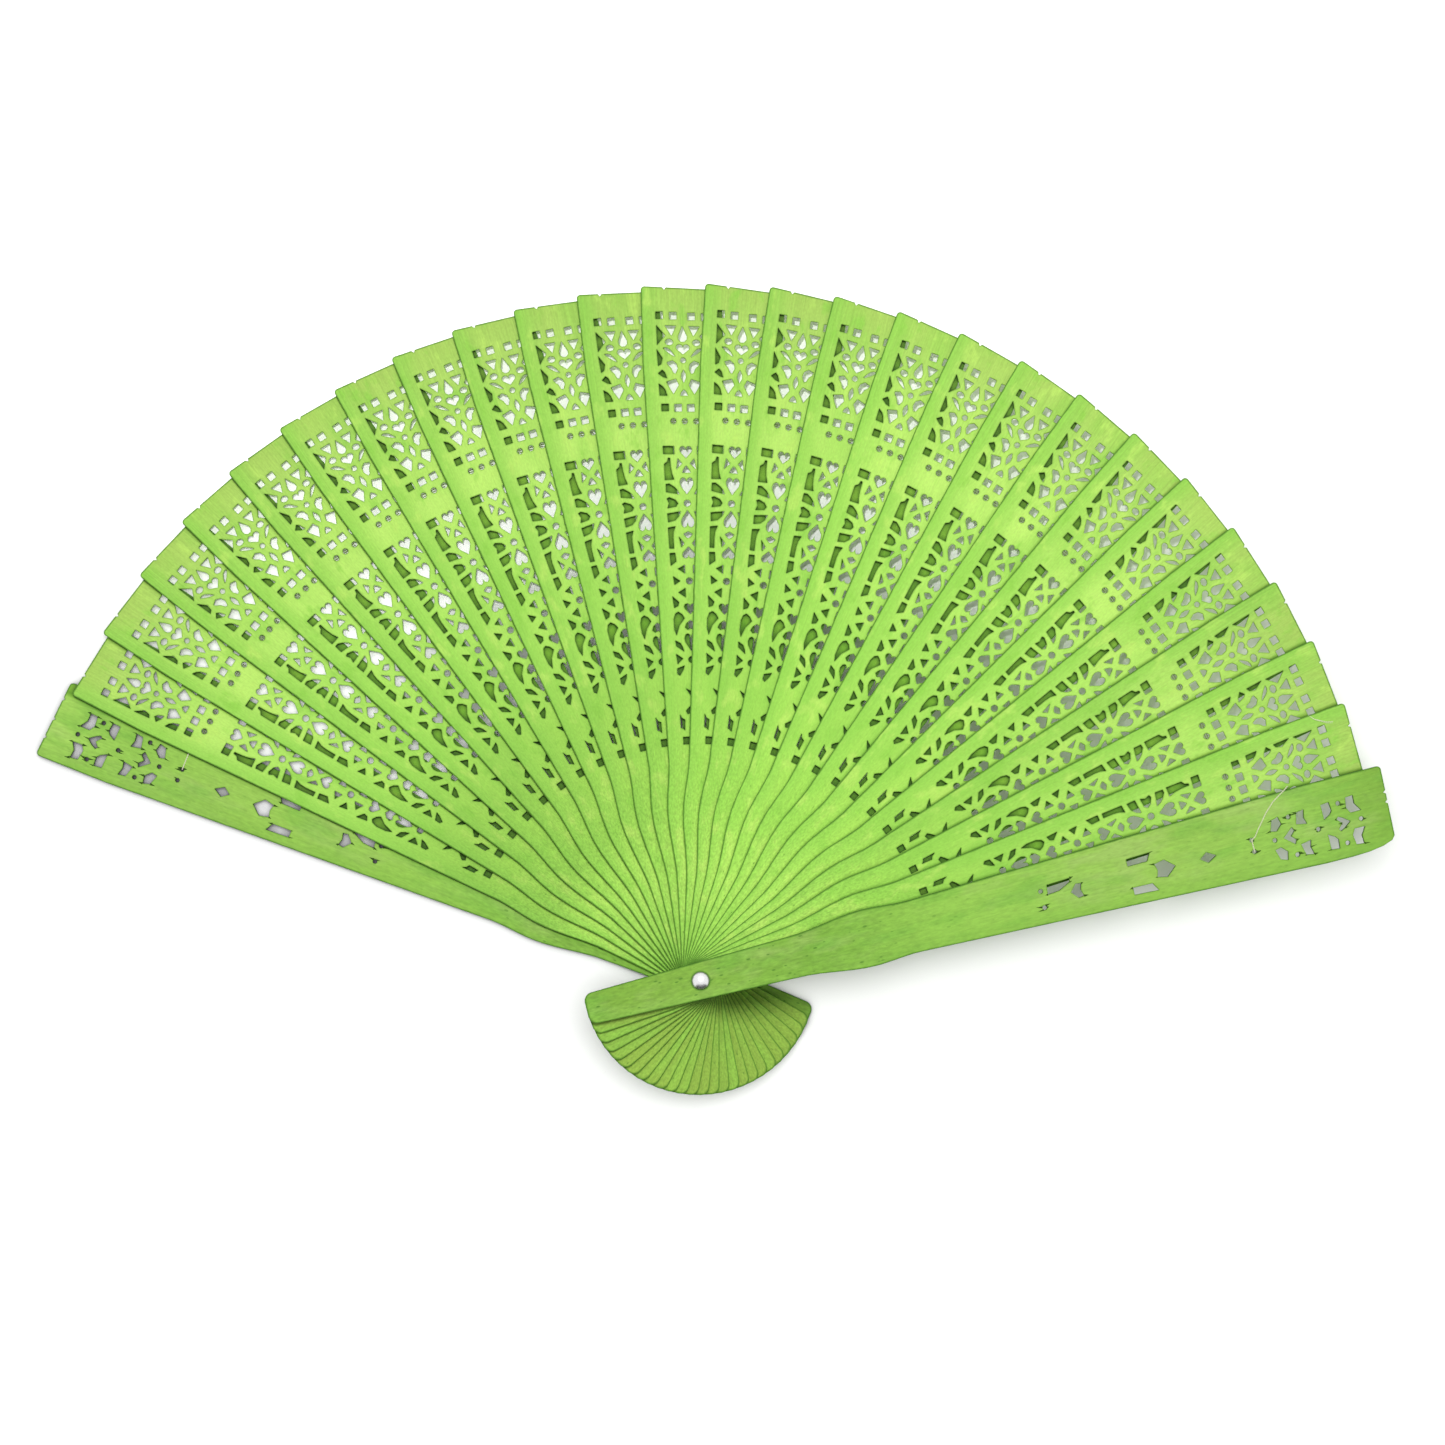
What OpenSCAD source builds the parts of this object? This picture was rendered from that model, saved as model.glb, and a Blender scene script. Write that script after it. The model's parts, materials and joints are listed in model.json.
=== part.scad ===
// Folding fan: pierced wooden sticks between two guards, all turning on one rivet and linked by a thread.
// Drawn fully open. The pivot is the Z axis, and z = 0 is the back of the rear guard.
// Each blade is drawn with its pivot at the origin and its tip towards +Y, then lifted and turned.

/* [Spread] */
// Number of thin sticks between the two guards
stick_count = 25; // [6:1:26]
// Angle from the rear guard to the front guard when fully open
spread_angle = 144; // [90:1:170]
// Direction that the rear guard points in, counted from +X
rear_direction = 158.3; // [120:0.1:200]
// Angle by which the sticks bunch towards the middle of the spread
spread_sway = 0.8; // [0:0.1:1.5]

/* [Blade outline] */
// Pivot to the tip of a stick
stick_reach = 169; // [150:1:190]
// Pivot to the tip of a guard
guard_reach = 172; // [152:1:195]
// Pivot to the tail end
tail_reach = 28.5; // [20:0.5:36]
// Width at the tail end
tail_w = 7.6; // [6:0.1:10]
// Corner radius of the tail
tail_corner = 2; // [0.5:0.1:3]
// Width at the end of the neck
neck_w = 10.2; // [8:0.1:12]
// Pivot to the end of the neck
neck_end = 23; // [14:0.5:30]
// Width of the shoulder
shoulder_w = 14; // [12.8:0.1:17]
// Pivot to the widest place of the shoulder
shoulder_at = 42; // [36:0.5:46]
// Width of the waist above the shoulder
waist_w = 12.7; // [11:0.1:13.8]
// Pivot to the waist
waist_at = 53; // [49:0.5:57]
// Width of the blade at its tip
tip_w = 19.8; // [16:0.1:24]
// Length of the band of even width at the tip
tip_band = 18; // [8:0.5:30]
// Corner radius of the tip
tip_corner = 0.9; // [0.2:0.1:2]
// Drop of the slanted tip per unit of width, on the sticks and the rear guard
tip_slant = 0.08; // [0:0.01:0.12]
// Drop of the slanted tip per unit of width, on the front guard
front_slant = 0.04; // [0:0.01:0.08]
// Width of the large round on the front guard's outer corner
guard_round_w = 2.6; // [1:0.1:4]
// Length of the large round on the front guard's outer corner
guard_round_l = 11; // [4:0.5:16]
// Width of the nicks in the tip edge
nick_w = 0.9; // [0.4:0.1:1.4]
// Depth of the nicks in the tip edge
nick_depth = 0.6; // [0.2:0.1:1.2]

/* [Thickness] */
// Thickness of a stick
stick_t = 0.6; // [0.4:0.05:1.2]
// Thickness of a guard
guard_t = 1.6; // [1.2:0.1:3]
// Free play between a blade and the thread on its neighbour
ply_play = 0.07; // [0.05:0.01:0.2]

/* [Lattice] */
// Plain wood left between the lattice and the long edges
edge_margin = 3.5; // [2.5:0.1:4.2]
// Plain wood left above the upper panel of a stick
upper_drop = 5.9; // [4:0.1:10]
// Height of the upper panel of a stick
upper_h = 24.3; // [20:0.1:28]
// Plain band between the upper and lower panels
band_h = 8.4; // [6:0.1:12]
// Height of the lower panel of a stick
lower_h = 56.3; // [48:0.1:60]
// Plain wood between the lower panel and the foot panel
foot_gap = 3.1; // [1.5:0.1:6]
// Height of the foot panel of a stick
foot_h = 13.7; // [10:0.1:16]
// Side of the squares in the upper panel
square_w = 1.8; // [1:0.1:2.2]
// Plain wood left above the flower panel of a guard
flower_drop = 6.7; // [4:0.1:10]
// Height of the flower panel of a guard
flower_h = 22.5; // [18:0.1:26]
// Plain band between the flower panel and the leaf panel of a guard
guard_band_h = 14.2; // [10:0.1:18]
// Height of the leaf panel of a guard
leaf_h = 44.3; // [36:0.1:50]
// How far the guard's lattice lies off the middle, towards the outer edge
guard_shift = 1.4; // [0:0.1:2]
// Radius of the dots in the guard's lattice
dot_r = 0.55; // [0.3:0.05:0.8]
// Radius of the dot in the stick's upper panel
stick_dot_r = 0.65; // [0.3:0.05:0.8]
// Radius of the round eyes in the stick's lower panel
eye_r = 0.8; // [0.4:0.05:0.95]

/* [Rivet] */
// Diameter of the rivet's shank
rivet_d = 2; // [1.4:0.1:3]
// Diameter of the domed head
head_d = 4.35; // [3.6:0.05:6]
// Height of the domed head
head_h = 1.1; // [0.6:0.1:1.8]
// Diameter of the peened tail
peen_d = 3; // [2.6:0.1:3.4]
// Thickness of the peened tail
peen_t = 0.3; // [0.2:0.05:0.5]
// Diameter of the burr washer
burr_d = 3.8; // [3.5:0.1:6]
// Thickness of the burr washer
burr_t = 0.3; // [0.2:0.05:0.5]
// Radial clearance round the shank in the blades and the burr
bore_clearance = 0.05; // [0.02:0.01:0.1]
// Clearance round the burr and under the rivet's head
seat_clearance = 0.05; // [0.02:0.01:0.1]

/* [Thread] */
// Diameter of the thread holes in a stick
thread_hole_d = 1.4; // [0.8:0.1:1.8]
// Spacing of the three thread holes in a stick
thread_hole_pitch = 2.8; // [2:0.1:3.4]
// Distance of the stick's thread holes below its upper panel
thread_drop = 2.4; // [1.5:0.1:4]
// Diameter of the two thread holes in a guard
guard_hole_d = 1.1; // [0.7:0.1:1.4]
// Spacing of the two thread holes in a guard
guard_hole_pitch = 2.9; // [2:0.1:4]
// Distance of the guard's thread holes below its flower panel
guard_thread_drop = 5; // [3:0.1:6.5]
// Width of the thread where it lies flat
thread_w = 0.3; // [0.2:0.02:0.4]
// Thickness of the thread where it lies flat
thread_t = 0.18; // [0.1:0.02:0.3]
// Length of thread that lies on a stick's back, left of its middle
thread_run = 4.4; // [3:0.1:6]
// Length of thread that lies on the rear guard, right of its hole
rear_thread_run = 5; // [2:0.1:6.5]

/* [Hidden] */
$fn = 48;
wood = "YellowGreen";
metal = "Silver";
cotton = "PaleGoldenrod";

// Levels of the pile
ply_gap = thread_t + ply_play;
ply = stick_t + ply_gap;
front_z = guard_t + ply_gap + stick_count * ply;
front_top = front_z + guard_t;
peen_z = 0;
burr_z = peen_z + peen_t;
recess_depth = burr_z + burr_t;
head_z = front_top + seat_clearance;
head_ball = (head_h * head_h + head_d * head_d / 4) / (2 * head_h);
bore_d = rivet_d + 2 * bore_clearance;

// Places of the lattice panels along a blade: foot of each panel, from the pivot
upper_y = stick_reach - upper_drop - upper_h;
lower_y = upper_y - band_h - lower_h;
foot_y = lower_y - foot_gap - foot_h;
thread_y = upper_y - thread_drop;
flower_y = guard_reach - flower_drop - flower_h;
leaf_y = flower_y - guard_band_h - leaf_h;
guard_thread_y = flower_y - guard_thread_drop;

// The rows of the front guard's lattice are level
front_lean = 0;

// Nicks along the tip edge, from the middle of the blade
stick_nicks = [-4.2];
rear_nicks = [-4.9, 0, 5.4];
front_nicks = [-3.4, -1];

// Points along an S-shaped stretch of the outline, and steps round a corner
curve_steps = 7;
corner_steps = 4;

// The loose stretch of thread on the front guard: across its face, over its inner edge and down
thread_route = [
    [0, 0, 0.16], [-0.6, 1, 0.16], [-2, 2, 0.16], [-3.3, 3.1, 0.16], [-5.6, 5, 0.16], [-7.7, 7.2, 0.16],
    [-9.1, 9.4, 0.16], [-9.8, 10.6, 0.16], [-10.25, 11.3, -0.2], [-10.4, 11.6, -0.8], [-10.4, 11.8, -1.4]
];
thread_sides = 8;

function two_digits(k) = str(k < 10 ? "0" : "", k);
function stick_name(k) = str("stick_", two_digits(k));
function thread_name(k) = str("thread_", two_digits(k));

// Share of the spread, turn from the rear guard, and level of blade k, where 0 is the rear guard
function share(k) = k / (stick_count + 1);
function turn_of(k) = spread_angle * share(k) + spread_sway * sin(360 * share(k));
function level_of(k) = k == 0 ? 0 : guard_t + ply_gap + (k - 1) * ply;

// Outline of a blade
function mix(a, b, t) = a + (b - a) * t;
function ease(t) = t * t * (3 - 2 * t);
function width_at(y, reach) =
    y < neck_end ? mix(tail_w, neck_w, (y + tail_reach) / (neck_end + tail_reach)) :
    y < shoulder_at ? mix(neck_w, shoulder_w, ease((y - neck_end) / (shoulder_at - neck_end))) :
    y < waist_at ? mix(shoulder_w, waist_w, ease((y - shoulder_at) / (waist_at - shoulder_at))) :
    y < reach - tip_band ? mix(waist_w, tip_w, (y - waist_at) / (reach - tip_band - waist_at)) :
    tip_w;
function half_at(y, reach) = width_at(y, reach) / 2;
function side_heights(reach) = concat(
    [for (i = [0:curve_steps]) mix(neck_end, shoulder_at, i / curve_steps)],
    [for (i = [1:curve_steps]) mix(shoulder_at, waist_at, i / curve_steps)],
    [reach - tip_band]
);
function tip_at(x, reach, slant) = reach - slant * x;
function round_off(centre, size, from) = [
    for (i = [0:corner_steps])
        let (a = from - 90 * i / corner_steps)
        [centre[0] + size[0] * cos(a), centre[1] + size[1] * sin(a)]
];
function nick(x, reach, slant) = [
    [x - nick_w / 2, tip_at(x - nick_w / 2, reach, slant)],
    [x, tip_at(x, reach, slant) - nick_depth],
    [x + nick_w / 2, tip_at(x + nick_w / 2, reach, slant)]
];
function tip_edge(reach, slant, left, right, nicks) =
    let (edge = tip_w / 2, in_left = left[0] - edge, in_right = edge - right[0])
    concat(
        round_off([in_left, tip_at(in_left, reach, slant) - left[1]], left, 180),
        [for (x = nicks) each nick(x, reach, slant)],
        round_off([in_right, tip_at(in_right, reach, slant) - right[1]], right, 90)
    );
function tail_edge() =
    let (edge = tail_w / 2 - tail_corner, size = [tail_corner, tail_corner], y = tail_corner - tail_reach)
    concat(round_off([edge, y], size, 0), round_off([-edge, y], size, -90));
function blade_outline(reach, slant, left, right, nicks) =
    let (sides = side_heights(reach), last = len(sides) - 1)
    concat(
        [for (y = sides) [-half_at(y, reach), y]],
        tip_edge(reach, slant, left, right, nicks),
        [for (i = [0:last]) [half_at(sides[last - i], reach), sides[last - i]]],
        tail_edge()
    );

// Lattice cells are drawn in percent of their panel: across, -100 to 100 from edge to edge of the
// lattice, and up, 0 to 100 from the panel's foot. A panel is [foot, height, reach, lean, shift].
// The rows lean more towards the tip, as the slanted tip does.
function leaning(p, panel) = [p[0], p[1] - panel[3] * pow(p[1] / panel[2], 3) * p[0]];
function spot(p, panel) =
    let (y = panel[0] + panel[1] * p[1] / 100, half = half_at(y, panel[2]) - edge_margin)
    leaning([panel[4] + half * p[0] / 100, y], panel);
function flipped(points) = [for (p = points) [-p[0], p[1]]];
function lobe(half, middle, rise) = [
    for (a = [-40:44:180]) [half / 2 * (1 + cos(a)), middle + rise * sin(a)]
];
function heart_points(point, top, half) =
    let (rise = 0.3 * (top - point), right = lobe(half, top - rise, rise), last = len(right) - 1)
    concat([[0, point]], right, [for (i = [1:last]) [-right[last - i][0], right[last - i][1]]]);
function drop_points(point, middle, half, rise) = concat(
    [[0, point]],
    [for (a = [20:-44:-200]) [half * cos(a), middle + rise * sin(a)]]
);
function lens_points(p, q, above, below) =
    let (steps = 4, line = q - p)
    concat(
        [for (i = [0:steps]) p + line * i / steps + [0, above * sin(180 * i / steps)]],
        [for (i = [1:steps - 1]) q - line * i / steps - [0, below * sin(180 * i / steps)]]
    );
function oval_points(x, y, half, rise) = [for (a = [0:45:315]) [x + half * cos(a), y + rise * sin(a)]];

module cell(panel, points) {
    polygon([for (p = points) spot(p, panel)]);
}

module cell_pair(panel, points) {
    cell(panel, points);
    cell(panel, flipped(points));
}

module dot(panel, place, r) {
    translate(spot(place, panel)) circle(r);
}

module square_row(panel, row, places) {
    for (x = places, side = [-1, 1]) {
        translate(spot([side * x, row], panel)) square(square_w, center = true);
    }
}

// Upper panel of a stick: petals, leaves and a heart between two rows of squares
module upper_lattice(panel) {
    square_row(panel, 96, [35, 87]);
    cell_pair(panel, [[-99, 86], [-66, 76], [-98, 66]]);
    cell_pair(panel, [[-66, 86], [-24, 86], [-42, 76]]);
    cell(panel, drop_points(86, 74.5, 17, 4.6));
    cell_pair(panel, oval_points(52, 69.5, 15, 3.2));
    cell(panel, heart_points(57.5, 67.5, 26));
    cell_pair(panel, lens_points([-76, 63.5], [-30, 55], 3.4, 1));
    cell_pair(panel, [[-100, 62], [-78, 53], [-84, 47], [-97, 45]]);
    dot(panel, [0, 51.5], stick_dot_r);
    cell_pair(panel, [
        [-62, 49], [-42, 51], [-26, 48], [-22, 43], [-31, 38], [-39, 39], [-46, 43.5], [-58, 46.5]
    ]);
    cell_pair(panel, [[-99, 37.5], [-82, 41.5], [-72, 39], [-64, 33], [-80, 34]]);
    cell(panel, [[0, 42], [8, 38], [9, 34], [0, 29], [-9, 34], [-8, 38]]);
    cell_pair(panel, [[-68, 29.5], [-30, 32.5], [-20, 26.5], [-42, 17.5], [-57, 24]]);
    cell_pair(panel, [[-99, 27.5], [-84, 25], [-74, 21.5], [-67, 15.5], [-98, 15.5]]);
    cell(panel, [[0, 22], [10, 19.5], [15, 16], [-15, 16], [-10, 19.5]]);
    square_row(panel, 3.6, [26, 79]);
}

// Lower panel of a stick: hearts down the middle, and rays round three round eyes
module lower_lattice(panel) {
    cell_pair(panel, [[-99, 96.3], [-50, 96.3], [-50, 99.8], [-99, 99.8]]);
    cell(panel, heart_points(94.7, 99.8, 27));
    cell_pair(panel, [
        [-98, 92], [-83, 93.1], [-79, 94.7], [-70, 94.7], [-69, 91], [-65, 88], [-56, 85.3], [-99, 85]
    ]);
    cell_pair(panel, [[-36, 94.4], [-18, 92.3], [-44, 89.8]]);
    cell(panel, [[0, 91.3], [9, 90.3], [19, 88.3], [-19, 88.3], [-9, 90.3]]);
    cell(panel, heart_points(78.9, 86.2, 31));
    cell_pair(panel, [[-96, 83.3], [-80, 83.5], [-56, 82], [-44, 80.7], [-35, 78.9], [-97, 79.8]]);
    cell_pair(panel, [
        [-96, 77], [-84, 77.6], [-55, 76.5], [-43, 74.9], [-53, 73.5], [-95, 72.8], [-87, 75]
    ]);
    cell_pair(panel, [[-98, 70.5], [-32, 71.5], [-42, 69.3], [-62, 67.5], [-96, 66.7]]);
    dot(panel, [0, 75], eye_r);
    cell(panel, heart_points(71.9, 64.5, 32));
    cell_pair(panel, [[-99, 64.4], [-61, 65], [-72, 62.5], [-75, 60], [-74, 55.3], [-98, 55.3]]);
    cell(panel, [[0, 62.7], [23, 61.6], [10, 60.3], [0, 59.8], [-10, 60.3], [-23, 61.6]]);
    cell_pair(panel, [[-47, 60.5], [-20, 57.6], [-36, 55.8]]);
    cell(panel, heart_points(56.1, 51.1, 33));
    cell_pair(panel, [[-99, 53.3], [-70, 53.5], [-66, 49.7], [-97, 47.8]]);
    cell_pair(panel, [[-61, 46.5], [-22, 48.2], [-22, 44.4]]);
    cell_pair(panel, [[-88, 43.3], [-50, 41.2], [-83, 39.5]]);
    dot(panel, [0, 41.2], eye_r);
    cell_pair(panel, [[-64, 36.2], [-23, 38.2], [-23, 34]]);
    cell_pair(panel, [[-99, 34.6], [-62, 32], [-69, 30.3], [-93, 29.5]]);
    cell(panel, heart_points(26.8, 31.4, 35));
    cell_pair(panel, [
        [-71, 27.9], [-49, 26.8], [-34, 25], [-67, 21.9], [-88, 17.5], [-100, 20.2], [-100, 24.6], [-89, 27]
    ]);
    cell(panel, [
        [0, 24.1], [24, 22.8], [35, 21], [18, 19.9], [0, 20.6], [-18, 19.9], [-35, 21], [-24, 22.8]
    ]);
    cell(panel, heart_points(10.7, 18.4, 40));
    cell_pair(panel, [[-99, 15.4], [-66, 14.2], [-53, 12.4], [-46, 10.5], [-95, 12.9]]);
    cell_pair(panel, [[-99, 9.6], [-55, 7.5], [-93, 5]]);
    cell_pair(panel, [[-97, 3.2], [-47, 4.5], [-56, 2.6], [-82, 0], [-99, 0.9]]);
    dot(panel, [0, 7], eye_r);
}

// Foot panel of a stick: a star and a dome over two ragged slots and two blocks
module foot_lattice(panel) {
    cell(panel, [[-46, 100], [0, 94], [46, 100], [22, 90], [0, 84], [-22, 90]]);
    cell(panel, [
        [0, 72], [30, 66], [52, 60], [41, 54], [0, 57], [-41, 54], [-52, 60], [-30, 66]
    ]);
    cell_pair(panel, [[-99, 54], [-84, 47], [-62, 44], [-67, 25], [-80, 28], [-99, 30]]);
    cell_pair(panel, [[-86, 0], [-34, 0], [-34, 13.5], [-86, 13.5]]);
}

// Flower panel of a guard: two flowers of four wings round a small heart, with dots
module flower_lattice(panel) {
    for (place = [[0, 98], [-77, 77.5], [77, 77.5], [0, 50.5], [-76, 22], [76, 22], [0, 2]]) {
        dot(panel, place, dot_r);
    }
    cell_pair(panel, [[-94, 95], [-62, 94.5], [-32, 100], [-31, 88.5], [-53, 85], [-91, 86.5]]);
    cell(panel, [
        [0, 86], [19, 79], [28, 74], [19, 72], [0, 77], [-19, 72], [-28, 74], [-19, 79]
    ]);
    cell_pair(panel, [[-90, 68], [-56, 69], [-43, 66], [-29, 59], [-87, 59]]);
    cell_pair(panel, [[-88, 40], [-58, 38], [-32, 40], [-40, 28.5], [-84, 31.5]]);
    cell(panel, [[-34, 23], [-18, 25], [0, 20], [18, 25], [34, 23], [0, 12]]);
    cell_pair(panel, [[-88, 11], [-56, 13], [-33, 6.5], [-39, 0], [-80, 3.5]]);
}

// Leaf panel of a guard: a kite, a spade between two bars, a heart, one curved leaf and two dots
module leaf_lattice(panel, leaf_on_left) {
    cell(panel, [[0, 100], [24, 95], [0, 91], [-24, 95]]);
    cell(panel, [[0, 77], [42, 71.5], [32, 66], [0, 67], [-32, 66], [-42, 71.5]]);
    cell_pair(panel, [[-95, 65], [-56, 62.5], [-56, 51.5], [-93, 51.5]]);
    cell(panel, [[-36, 24.5], [0, 23.5], [36, 24.5], [41, 21.5], [0, 18], [-41, 21.5]]);
    leaf = [[-82, 19], [-59, 18.5], [-27, 12], [-21, 5.5], [-79, 6], [-80, 13]];
    cell(panel, leaf_on_left ? leaf : flipped(leaf));
    for (x = [-51, 51]) {
        dot(panel, [x, 2], dot_r);
    }
}

// Middles of the thread holes, on a stick and on a guard
function thread_spot(x) = leaning([x, thread_y], [0, 0, stick_reach, tip_slant, 0]);
function guard_thread_spot(side, lean, shift) =
    leaning([shift + side * guard_hole_pitch / 2, guard_thread_y], [0, 0, guard_reach, lean, shift]);

module on_level(k) {
    translate([0, 0, level_of(k)]) rotate([0, 0, rear_direction - turn_of(k) - 90]) children();
}

module stick_shape() {
    corner = [tip_corner, tip_corner];
    difference() {
        polygon(blade_outline(stick_reach, tip_slant, corner, corner, stick_nicks));
        circle(d = bore_d);
        upper_lattice([upper_y, upper_h, stick_reach, tip_slant, 0]);
        lower_lattice([lower_y, lower_h, stick_reach, tip_slant, 0]);
        foot_lattice([foot_y, foot_h, stick_reach, tip_slant, 0]);
        for (i = [-1, 0, 1]) {
            translate(thread_spot(i * thread_hole_pitch)) circle(d = thread_hole_d);
        }
    }
}

// slant is that of the tip and lean that of the lattice's rows.
// outer is the side of the blade that forms the fan's own edge, -1 for left and 1 for right.
module guard_shape(slant, lean, outer, left, right, nicks) {
    shift = outer * guard_shift;
    difference() {
        polygon(blade_outline(guard_reach, slant, left, right, nicks));
        circle(d = bore_d);
        flower_lattice([flower_y, flower_h, guard_reach, lean, shift]);
        leaf_lattice([leaf_y, leaf_h, guard_reach, lean, shift], outer > 0);
        for (side = [-1, 1]) {
            translate(guard_thread_spot(side, lean, shift)) circle(d = guard_hole_d);
        }
    }
}

// Flat strip of thread between two places on a blade's face
module thread_strip(from, to) {
    along = to - from;
    across = [-along[1], along[0]] / norm(along) * thread_w / 2;
    linear_extrude(thread_t) polygon([from + across, to + across, to - across, from - across]);
}

module rear_guard() {
    corner = [tip_corner, tip_corner];
    color(wood) on_level(0) difference() {
        linear_extrude(guard_t) guard_shape(tip_slant, tip_slant, -1, corner, corner, rear_nicks);
        cylinder(h = 2 * recess_depth, d = burr_d + 2 * seat_clearance, center = true);
    }
}

module stick(k) {
    color(wood) on_level(k) linear_extrude(stick_t) stick_shape();
}

module front_guard() {
    corner = [tip_corner, tip_corner];
    outer_corner = [guard_round_w, guard_round_l];
    color(wood) on_level(stick_count + 1) linear_extrude(guard_t)
        guard_shape(front_slant, front_lean, 1, corner, outer_corner, front_nicks);
}

module rivet() {
    color(metal) {
        translate([0, 0, peen_z]) cylinder(h = peen_t, d = peen_d);
        translate([0, 0, peen_z]) cylinder(h = head_z - peen_z, d = rivet_d);
        intersection() {
            translate([0, 0, head_z + head_h - head_ball]) sphere(head_ball);
            translate([0, 0, head_z]) cylinder(h = 2 * head_h, d = 2 * head_d);
        }
    }
}

module rivet_burr() {
    color(metal) translate([0, 0, burr_z]) difference() {
        cylinder(h = burr_t, d = burr_d);
        translate([0, 0, -burr_t]) cylinder(h = 3 * burr_t, d = bore_d);
    }
}

// The thread comes up through the rear guard's inner hole and runs under the first stick
module rear_thread() {
    hole = guard_thread_spot(1, tip_slant, -guard_shift);
    color(cotton) on_level(0) {
        translate(hole) cylinder(h = guard_t + thread_t, d = thread_w);
        translate([0, 0, guard_t]) thread_strip(hole, hole + [rear_thread_run, 0]);
    }
}

// The thread crosses a stick's back behind its holes and comes up through the right-hand one
module stick_thread(k) {
    hole = thread_spot(thread_hole_pitch);
    color(cotton) on_level(k) translate([0, 0, -thread_t]) {
        translate(hole) cylinder(h = thread_t + stick_t, d = thread_w);
        thread_strip(thread_spot(-thread_run), hole);
    }
}

// A stitch between the front guard's two holes, and the loose stretch from the inner one to the edge
module front_thread() {
    inner = guard_thread_spot(-1, front_lean, guard_shift);
    outer = guard_thread_spot(1, front_lean, guard_shift);
    color(cotton) on_level(stick_count + 1) {
        for (hole = [inner, outer]) {
            translate(hole) cylinder(h = guard_t + thread_t, d = thread_w);
        }
        translate([0, 0, guard_t]) thread_strip(inner, outer);
        translate([inner[0], inner[1], guard_t]) loose_thread();
    }
}

function unit(v) = v / norm(v);
function heading(i) =
    let (last = len(thread_route) - 1)
    unit(thread_route[min(i + 1, last)] - thread_route[max(i - 1, 0)]);
function ring(i) =
    let (side = unit(cross(heading(i), [0, 0, 1])), up = cross(side, heading(i)))
    [for (s = [0:thread_sides - 1])
        let (a = 360 * (s + 0.5) / thread_sides)
        thread_route[i] + thread_w / 2 * (side * cos(a) + up * sin(a))];

module loose_thread() {
    rings = len(thread_route);
    sides = thread_sides;
    points = [for (i = [0:rings - 1]) each ring(i)];
    walls = [for (i = [0:rings - 2], s = [0:sides - 1]) each
        let (a = i * sides + s, b = i * sides + (s + 1) % sides)
        [[a, b, b + sides], [a, b + sides, a + sides]]];
    start = [for (s = [1:sides - 2]) [0, s + 1, s]];
    end = [for (s = [1:sides - 2]) [0, s, s + 1] + (rings - 1) * sides * [1, 1, 1]];
    polyhedron(points, concat(walls, start, end));
}

rear_guard();
for (k = [1:stick_count]) {
    stick(k);
    stick_thread(k);
}
front_guard();
rivet();
rivet_burr();
rear_thread();
front_thread();
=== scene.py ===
"""Looks of an open folding fan: dyed, pierced wooden blades, a polished rivet and a linking thread."""

import json
import math
import random

import bmesh
import bpy
from mathutils import Matrix, Vector


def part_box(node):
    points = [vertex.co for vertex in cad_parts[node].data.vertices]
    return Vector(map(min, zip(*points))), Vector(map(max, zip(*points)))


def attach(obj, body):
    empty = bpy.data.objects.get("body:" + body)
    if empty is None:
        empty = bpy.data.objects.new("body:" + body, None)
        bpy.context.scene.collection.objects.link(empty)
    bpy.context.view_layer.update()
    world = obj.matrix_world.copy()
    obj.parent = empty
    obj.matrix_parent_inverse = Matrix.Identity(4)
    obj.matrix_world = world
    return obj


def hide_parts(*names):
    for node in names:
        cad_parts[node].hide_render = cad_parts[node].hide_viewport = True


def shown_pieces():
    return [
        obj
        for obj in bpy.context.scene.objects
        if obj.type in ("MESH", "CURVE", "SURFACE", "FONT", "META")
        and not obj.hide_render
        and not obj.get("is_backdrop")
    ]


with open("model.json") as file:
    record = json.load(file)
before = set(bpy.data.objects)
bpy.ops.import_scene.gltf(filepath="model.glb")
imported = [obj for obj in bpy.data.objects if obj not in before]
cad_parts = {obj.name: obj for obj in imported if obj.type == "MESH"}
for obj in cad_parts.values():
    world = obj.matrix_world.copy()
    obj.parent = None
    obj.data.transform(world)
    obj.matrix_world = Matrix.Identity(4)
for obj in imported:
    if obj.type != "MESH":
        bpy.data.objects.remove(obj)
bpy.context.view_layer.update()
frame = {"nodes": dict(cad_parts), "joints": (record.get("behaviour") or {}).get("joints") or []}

# Sizes of the fan, in millimetres, as its blades are drawn: pivot at the origin and tip towards +Y
MM = 0.001
STICK_COUNT = 25
FRONT = STICK_COUNT + 1
REAR_DIRECTION = 158.3
TAIL_REACH = 28.5
STICK_REACH = 169
GUARD_REACH = 172
STICK_T = 0.6
GUARD_T = 1.6
RIVET_HEAD_R = 2.175
HEAD_SHADE_W = 0.55

# Half widths of a blade, and where along it they are
HALF_TAIL, HALF_NECK, HALF_SHOULDER, HALF_WAIST, HALF_TIP = 3.8, 5.1, 7, 6.35, 9.9
NECK_END, SHOULDER_AT, WAIST_AT, TIP_BAND = 23, 42, 53, 18
TAIL_CORNER, TIP_CORNER = 2, 0.9
STICK_SLANT = 0.08
FRONT_SLANT = 0.04

# Widths and strengths of the darker rims: at the piercings, and along the blade's own edges
RIM_W = 0.4
RIM_DEPTH = 0.6
EDGE_W = 0.42
TAIL_EDGE_W = 0.34
TAIL_END_W = 0.66
EDGE_DEPTH = 0.95
# Least width of the ragged edge and what the raggedness adds, as shares of the edge's width
RAGGED_LEAST, RAGGED_MORE = 0.35, 1.5

# Width over which the painted shade comes in where the next blade lies over the wood
COVERED_SHADE_BLEND = 1.4
# How near the cut edge of that blade has to be for painted shade on the wood beneath it
CLOSE_R = 1.5
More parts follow.
